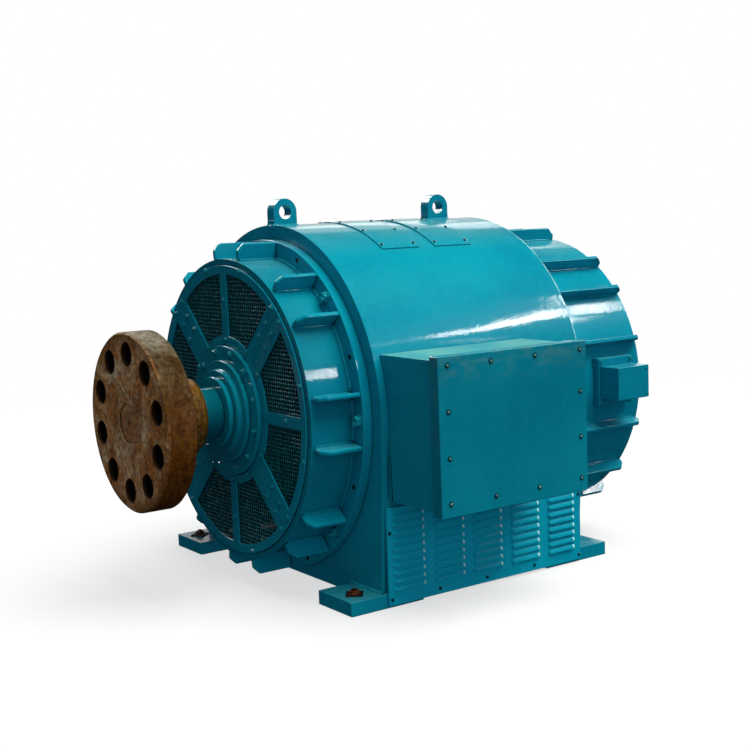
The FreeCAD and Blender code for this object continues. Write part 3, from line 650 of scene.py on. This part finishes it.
def end_hardware(pre, y_screen, y_flange_face, y_bearing, sign):
    """Screws of the wire screens and bolts of the bearing housing and of the shield's flange, one end."""
    n = (0, sign, 0)
    s = Soup()
    for q in (0, 90, 180, 270):
        for d, r in ((-14.2, 0.549), (14.2, 0.549), (-41.3, 0.540), (41.3, 0.540), (0, 0.421), (0, 0.272),
                     (-33, 0.274), (33, 0.274), (-40.6, 0.393), (40.6, 0.393), (-41.9, 0.467), (41.9, 0.467)):
            hexbolt(s, polar(q + d, r, y_screen), n, 0.0135, 0.006, 0.0105, 0.002)
    s.make(pre + "_screen_screws", [M_BOLT], "stator")
    s = Soup()
    for k in range(8):
        hexbolt(s, polar(45 * k, 0.616, y_flange_face), n, 0.036, 0.0165, 0.0235, 0.004)
        u, v, m = axes(n)
        q = polar(45 * k + 1.0, 0.6155, y_flange_face) + m * 0.018
        s.loft([ring(q + m * a, u, v, r, 14) for a, r in ((-0.004, 0.0095), (0.007, 0.0095), (0.0095, 0.0070))])
    s.make(pre + "_flange_bolts", [M_BOLT], "stator")
    # jacking holes: shallow dimples whose dark is painted shade standing in for the holes
    s = Soup()
    for k in range(8):
        p = polar(45 * k + 23.5, 0.618, y_flange_face)
        u, v, m = axes(n)
        s.loft([ring(p + m * a, u, v, r, 16) for a, r in ((-0.001, 0.0085), (0.0012, 0.0085), (0.0014, 0.0066), (0.0003, 0.0060))])
    s.make(pre + "_jacking_holes", [M_PAINTED_SHADE], "stator")
    s = Soup()
    for k in range(12):
        hexbolt(s, polar(15 + 30 * k, 0.226, y_bearing), n, 0.019, 0.0095, 0.0135, 0.0025)
    s.make(pre + "_bearing_bolts", [M_BOLT], "stator")


end_hardware("de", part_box("de_screen_top")[LO].y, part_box("de_mating_flange")[LO].y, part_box("de_bearing_flange")[LO].y, -1)
end_hardware("nde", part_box("nde_screen_top")[HI].y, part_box("nde_mating_flange")[HI].y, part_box("nde_bearing_flange")[HI].y, 1)

# auxiliary box: cover screws and base screws
s = Soup()
lo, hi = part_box("aux_box_base")
for y, z in ((lo.y + 0.012, hi.z - 0.012), (hi.y - 0.012, hi.z - 0.012), (lo.y + 0.012, lo.z + 0.012), (hi.y - 0.012, lo.z + 0.012)):
    hexbolt(s, (hi.x, y, z), (1, 0, 0), 0.013, 0.006, 0.0095, 0.002)
lo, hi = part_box("aux_box_cover")
for y, z in ((lo.y + 0.016, hi.z - 0.016), (hi.y - 0.016, hi.z - 0.016), (lo.y + 0.016, lo.z + 0.016), (hi.y - 0.016, lo.z + 0.016)):
    panhead(s, (hi.x, y, z), (1, 0, 0), 0.0045, 0.0025)
s.make("aux_box_screws", [M_BOLT], "stator")

# drive-end feet: rusted square washer, nut and stud end on the holding-down hole
s = Soup()
for hole, sx in (("foot_bolt_hole_front_right", 1), ("foot_bolt_hole_front_left", -1)):
    p = Vector((OPENINGS[hole].x, OPENINGS[hole].y, FOOT_TOP))
    u, v, n = axes((0, 0, 1))
    s.loft([ring(p + n * a, u, v, r, 4, 0.12 * sx) for a, r in ((-0.0005, 0.043), (0.0040, 0.043), (0.0055, 0.0405))], 1)
    hexbolt(s, p + n * 0.0045, n, 0.034, 0.010, 0.0215, 0.0025, 0)
    s.loft([ring(p + n * a, u, v, r, 14) for a, r in ((0.012, 0.0105), (0.0205, 0.0105), (0.0225, 0.0085))], 1)
s.make("foot_nuts_rusted", [M_RUSTBOLT, M_RUSTDARK], "stator")
# far-end feet: low painted plugs in the holes
s = Soup()
for hole in ("foot_bolt_hole_rear_right", "foot_bolt_hole_rear_left"):
    p = Vector((OPENINGS[hole].x, OPENINGS[hole].y, FOOT_TOP))
    u, v, n = axes((0, 0, 1))
    s.loft([ring(p + n * a, u, v, r, 28) for a, r in ((-0.050, 0.0255), (-0.003, 0.0255), (-0.0015, 0.0240), (-0.0015, 0.011), (-0.0035, 0.010))])
s.make("foot_plugs_painted", [M_PANEL], "stator")

# painted highlight: a pale strip along the outer edge of the far end plate
s = Soup()
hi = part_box("frame_rear_plate")[HI]
edge_r = hi.x - 0.0020
rings = []
for i in range(123):
    a = -91.5 + 1.5 * i
    p = polar(a, edge_r, hi.y - 0.0018)
    out_way = (p - Vector((0, p.y, AXIS_Z))).normalized()
    w = 0.0024 + 0.0004 * math.sin(0.9 * i) * math.sin(0.37 * i)
    rings.append(ring(p, out_way, Vector((0, 1, 0)), w, 8))
s.loft(rings)
s.make("rear_plate_painted_highlight", [M_PAINTED_GLINT], "stator", 60)

# welds: round the lifting eyes and the feet
s = Soup()
for end in ("front", "rear"):
    lo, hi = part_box("lifting_eye_" + end)
    z = SKIN_TOP + 0.0007
    path = []
    for x, y in ((lo.x, lo.y), (hi.x, lo.y), (hi.x, hi.y), (lo.x, hi.y)):
        path.append((x, y, z))
    bead(s, [(x * 1.08, y + math.copysign(0.001, y - (lo.y + hi.y) / 2), z - 0.0035) for x, y, z in path], 0.0062, True, seed=5)
s.make("lifting_eye_welds", [M_SKIN], "stator")

for pre, y, r in (("de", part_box("de_mating_flange")[LO].y - 0.0022, 0.5825),
                  ("nde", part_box("nde_mating_flange")[HI].y + 0.0022, 0.5945)):
    s = Soup()
    for k in range(16):
        # stops short of the ribs
        a0, a1 = (45 * (k // 2) + (10.4 if k % 2 else -7.0), 45 * (k // 2) + (34.6 if k % 2 else 7.0))
        if pre == "nde":
            wide = 16.5 if (k // 2) in (2, 6) else 7.6
            nxt = 16.5 if (k // 2 + 1) % 8 in (2, 6) else 7.6
            a0, a1 = (45 * (k // 2) + (wide + 1.8 if k % 2 else 1.8 - wide), 45 * (k // 2) + (45 - nxt - 1.8 if k % 2 else wide - 1.8))
        n = max(3, int((a1 - a0) / 1.2))
        bead(s, [polar(a0 + (a1 - a0) * i / n, r, y) for i in range(n + 1)], 0.0068, pitch=0.011, seed=100 + k)
    s.make(pre + "_shield_fillet_beads", [M_ENAMEL], "stator")

# smooth fillets where the ribs stand on the drums
NDE_HALF = [16.5 if k in (2, 6) else 7.6 for k in range(8)]
for pre, r, y0, y1, halves in (("de", 0.5815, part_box("de_mating_flange")[LO].y - 0.004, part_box("de_shield_casting")[LO].y + 0.016, [8.7] * 8),
                               ("nde", 0.5935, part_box("nde_mating_flange")[HI].y + 0.004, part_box("nde_shield_casting")[HI].y - 0.030, NDE_HALF)):
    s = Soup()
    for k in range(8):
        for sg in (-1, 1):
            a = math.radians(45 * k)
            # each rib is a flat plate 18 mm thick standing off the radial line
            off = math.degrees(0.0102 / 0.59)
            for side_off in (-off, off):
                deg = 45 * k + sg * halves[k] + side_off
                steps = 12
                path = [polar(deg, r, y0 + (y1 - y0) * i / steps) for i in range(steps + 1)]
                u, v, n = axes((0, 1, 0))
                s.loft([ring(p, u, v, 0.0048 * (0.75 if i in (0, steps) else 1.0 + 0.06 * math.sin(2.1 * i + k)), 8)
                        for i, p in enumerate(path)])
    s.make(pre + "_rib_fillets", [M_ENAMEL], "stator", 60)

# open joint behind the lower part of the terminal box: a thin dark strip of painted shade
s = Soup()
for sy, y in ((-1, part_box("terminal_box_body")[LO].y), (1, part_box("terminal_box_body")[HI].y)):
    x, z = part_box("frame_front_plate")[HI].x + 0.0035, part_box("terminal_box_body")[LO].z
    s.loft([[Vector((x + a, y - 0.0004 * sy, z + h)), Vector((x + a + w, y - 0.0004 * sy, z + h)),
             Vector((x + a + w, y + 0.0006 * sy, z + h)), Vector((x + a, y + 0.0006 * sy, z + h))]
            for h, a, w in ((0.002, 0.0, 0.0050), (0.05, 0.0, 0.0046), (0.11, 0.0, 0.0034), (0.17, 0.0004, 0.0012))])
s.make("terminal_box_joint", [M_PAINTED_SHADE], "stator")

# shaft end: centre drill, its bore dark with painted shade
s = Soup()
p = Vector((0, SHAFT_END, AXIS_Z))
u, v, n = axes((0, -1, 0))
s.loft([ring(p + n * a, u, v, r, 28) for a, r in ((-0.0002, 0.0175), (0.0009, 0.0170), (0.0009, 0.0135), (0.0003, 0.0110))], 0)
s.loft([ring(p + n * a, u, v, r, 20) for a, r in ((-0.0002, 0.0070), (0.0006, 0.0070), (0.0004, 0.0030))], 1)
s.make("shaft_centre_drill", [M_SHAFT, M_PAINTED_SHADE], "rotor")

# hub of the coupling: swept fillet into the disc, then coarse turning grooves
s = Soup()
y0 = COUPLING_FACE + 0.113
y1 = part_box("coupling_flange")[HI].y
rows = [(y0 - 0.0004, 0.166), (y0 + 0.002, 0.1605), (y0 + 0.006, 0.1535), (y0 + 0.011, 0.1475), (y0 + 0.017, 0.1425),
        (y0 + 0.024, 0.1390), (y0 + 0.031, 0.1375)]
y = y0 + 0.034
while y < y1 - 0.007:
    rows += [(y, 0.1378), (y + 0.0032, 0.1378), (y + 0.0042, 0.1364), (y + 0.0056, 0.1364)]
    y += 0.0066
rows += [(y1 - 0.003, 0.1372), (y1 + 0.0002, 0.1352)]
s.loft([ring(Vector((0, a, AXIS_Z)), Vector((1, 0, 0)), Vector((0, 0, 1)), r, 128) for a, r in rows], 0, False, False)
s.make("coupling_hub_turning", [M_RUST], "rotor", 30)

s = Soup()
for sx in (1, -1):
    # front and rear end plates down to the feet
    for y, sy in ((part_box("frame_front_plate")[LO].y, -1), (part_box("frame_rear_plate")[HI].y, 1)):
        bead(s, [(0.466 * sx, y + 0.001 * sy, FOOT_TOP + 0.0015), (0.660 * sx, y + 0.001 * sy, FOOT_TOP + 0.0015)], 0.0065,
             seed=7 + sx)
s.make("foot_welds", [M_ENAMEL], "stator")

# ------------------------------------------------------------------------------------------------
# stage: pale floor, backdrop, studio light and camera
# ------------------------------------------------------------------------------------------------
def camera_only(o):
    o.visible_diffuse = False
    o.visible_glossy = False
    o.visible_transmission = False
    o.visible_volume_scatter = False


fm = bpy.data.materials.new("studio_floor")
fm.use_nodes = True
nt = fm.node_tree
nt.nodes.clear()
out = nt.nodes.new("ShaderNodeOutputMaterial")
add = nt.nodes.new("ShaderNodeAddShader")
dif = nt.nodes.new("ShaderNodeBsdfDiffuse")
emi = nt.nodes.new("ShaderNodeEmission")
dif.inputs["Color"].default_value = (0.29, 0.295, 0.34, 1)
emi.inputs["Color"].default_value = (1, 1, 1, 1)
emi.inputs["Strength"].default_value = 0.66
nt.links.new(dif.outputs[0], add.inputs[0])
nt.links.new(emi.outputs[0], add.inputs[1])
# plain white further out, so that the floor and the backdrop meet without a line
far = nt.nodes.new("ShaderNodeEmission")
far.inputs["Color"].default_value = (1, 1, 1, 1)
far.inputs["Strength"].default_value = 1.0
tc = nt.nodes.new("ShaderNodeTexCoord")
ln = nt.nodes.new("ShaderNodeVectorMath")
ln.operation = "LENGTH"
mr = nt.nodes.new("ShaderNodeMapRange")
mr.interpolation_type = "SMOOTHSTEP"
mr.inputs["From Min"].default_value = 1.5
mr.inputs["From Max"].default_value = 6.0
ms = nt.nodes.new("ShaderNodeMixShader")
nt.links.new(tc.outputs["Object"], ln.inputs[0])
nt.links.new(ln.outputs["Value"], mr.inputs["Value"])
nt.links.new(mr.outputs["Result"], ms.inputs[0])
nt.links.new(add.outputs[0], ms.inputs[1])
nt.links.new(far.outputs[0], ms.inputs[2])
nt.links.new(ms.outputs[0], out.inputs["Surface"])

bm = bmesh.new()
bmesh.ops.create_grid(bm, x_segments=8, y_segments=8, size=45.0)
me = bpy.data.meshes.new("studio_floor")
bm.to_mesh(me)
bm.free()
me.materials.append(fm)
floor = bpy.data.objects.new("studio_floor", me)
floor.location = (0, 0, -0.0005)
bpy.context.scene.collection.objects.link(floor)
camera_only(floor)

bd = bpy.data.materials.new("studio_backdrop")
bd.use_nodes = True
nt = bd.node_tree
nt.nodes.clear()
out = nt.nodes.new("ShaderNodeOutputMaterial")
emi = nt.nodes.new("ShaderNodeEmission")
emi.inputs["Color"].default_value = (1, 1, 1, 1)
emi.inputs["Strength"].default_value = 1.0
nt.links.new(emi.outputs[0], out.inputs["Surface"])
bm = bmesh.new()
bmesh.ops.create_uvsphere(bm, u_segments=48, v_segments=24, radius=44.0)
me = bpy.data.meshes.new("studio_backdrop")
bm.to_mesh(me)
bm.free()
me.materials.append(bd)
back = bpy.data.objects.new("studio_backdrop", me)
bpy.context.scene.collection.objects.link(back)
camera_only(back)
back.visible_shadow = False

world = bpy.data.worlds.new("studio")
world.use_nodes = True
world.node_tree.nodes["Background"].inputs[0].default_value = (0.80, 0.95, 1.0, 1)
world.node_tree.nodes["Background"].inputs[1].default_value = 0.13
bpy.context.scene.world = world
world.cycles_visibility.glossy = False


def sun(name, toward, strength, angle, colour=(1, 1, 1), glossy=False):
    d = bpy.data.lights.new(name, "SUN")
    d.energy = strength
    d.angle = math.radians(angle)
    d.color = colour
    o = bpy.data.objects.new(name, d)
    o.rotation_mode = "QUATERNION"
    o.rotation_quaternion = Vector(toward).to_track_quat("Z", "Y")
    bpy.context.scene.collection.objects.link(o)
    o.visible_glossy = glossy
    return o


def strip(name, centre, look_at, size_x, size_y, radiance, colour=(1, 1, 1), diffuse=False):
    """Rectangular soft box; radiance is what a mirror would show."""
    d = bpy.data.lights.new(name, "AREA")
    d.shape = "RECTANGLE"
    d.size, d.size_y = size_x, size_y
    d.energy = radiance * math.pi * size_x * size_y
    d.color = colour
    o = bpy.data.objects.new(name, d)
    o.location = centre
    o.rotation_mode = "QUATERNION"
    o.rotation_quaternion = (Vector(centre) - Vector(look_at)).to_track_quat("Z", "Y")
    bpy.context.scene.collection.objects.link(o)
    o.visible_camera = False
    o.visible_diffuse = diffuse
    return o


mid = Vector((0.3, 0.0, 0.95))


def window(name, azimuth, elevation, half_long, half_high, tilt, radiance, colour=(1, 1, 1), dist=18.0):
    """A bright pane as seen from the machine: direction in degrees (from +X towards +Y, above the horizon),
    half sizes in degrees, long axis tilted up to the left by tilt. It shows only in the gloss of the paint."""
    a, e, t = math.radians(azimuth), math.radians(elevation), math.radians(tilt)
    d = Vector((math.cos(a) * math.cos(e), math.sin(a) * math.cos(e), math.sin(e)))
    ea = Vector((-math.sin(a), math.cos(a), 0))
    ee = d.cross(ea)
    long_axis = ea * math.cos(t) + ee * math.sin(t)
    high_axis = d.cross(long_axis)
    o = strip(name, mid + d * dist, mid, 2 * dist * math.tan(math.radians(half_long)),
              2 * dist * math.tan(math.radians(half_high)), radiance, colour)
    turn = Matrix((long_axis, high_axis, d)).transposed()
    o.rotation_quaternion = turn.to_quaternion()
    return o


sun("key_overhead", (0.27, 0.22, 0.93), 3.85, 50, (1.0, 1.0, 0.80))
sun("fill_front", (0.62, -0.70, 0.35), 0.21, 80, (0.90, 0.97, 1.0))
sun("fill_right_low", (0.95, 0.10, 0.06), 0.48, 60, (0.92, 0.98, 1.0))
WARM = (1.0, 0.99, 0.96)
window("window_right_a", 46.2, 30.3, 2.5, 0.75, 2.0, 23.0)
window("window_right_b", 49.9, 31.0, 2.0, 1.05, 12.0, 23.0)
window("window_right_c", 53.3, 31.8, 2.2, 1.6, 30.0, 21.0)
window("window_right_d", 60.9, 35.3, 3.1, 1.6, 47.0, 20.0)
window("window_right_dim", 41.0, 30.6, 2.6, 0.5, 2.0, 2.0)
window("window_right_low", 33.1, 22.4, 3.1, 1.1, 74.0, 19.0)
window("window_right_thin", 43.5, 25.4, 1.7, 0.30, -53.0, 7.0)
window("horizon_left", 142.0, 14.0, 30.0, 17.5, 0.0, 0.66, WARM)
window("clerestory_left", 143.5, 20.5, 4.5, 3.0, -6.0, 1.3, WARM)
window("clerestory_left_end", 133.5, 27.0, 5.5, 2.6, -44.0, 1.5, WARM)
window("rooflights_far_left", 188.0, 34.0, 24.0, 4.5, 0.0, 14.0, WARM)
window("daylight_behind", 106.0, 14.0, 24.0, 7.0, 0.0, 7.0)
window("door_behind", 97.0, 10.0, 6.0, 3.5, 0.0, 14.0)

az, el, roll = math.radians(55.177), math.radians(7.003), math.radians(-2.205)
C = Vector((4.3240, -3.0287, 1.3930))
bk = Vector((math.sin(az) * math.cos(el), -math.cos(az) * math.cos(el), math.sin(el)))
fwd = -bk
right = fwd.cross(Vector((0, 0, 1))).normalized()
up = right.cross(fwd)
c, sn = math.cos(roll), math.sin(roll)
r2, u2 = right * c + up * sn, right * -sn + up * c
cam_data = bpy.data.cameras.new("camera")
cam_data.sensor_width = 36.0
cam_data.lens = 61.286
cam_data.clip_start, cam_data.clip_end = 0.1, 300.0
cam = bpy.data.objects.new("camera", cam_data)
m = Matrix.Identity(4)
for i in range(3):
    m[i][0], m[i][1], m[i][2], m[i][3] = r2[i], u2[i], bk[i], C[i]
cam.matrix_world = m
bpy.context.scene.collection.objects.link(cam)
bpy.context.scene.camera = cam
bpy.context.scene.view_settings.view_transform = "Standard"
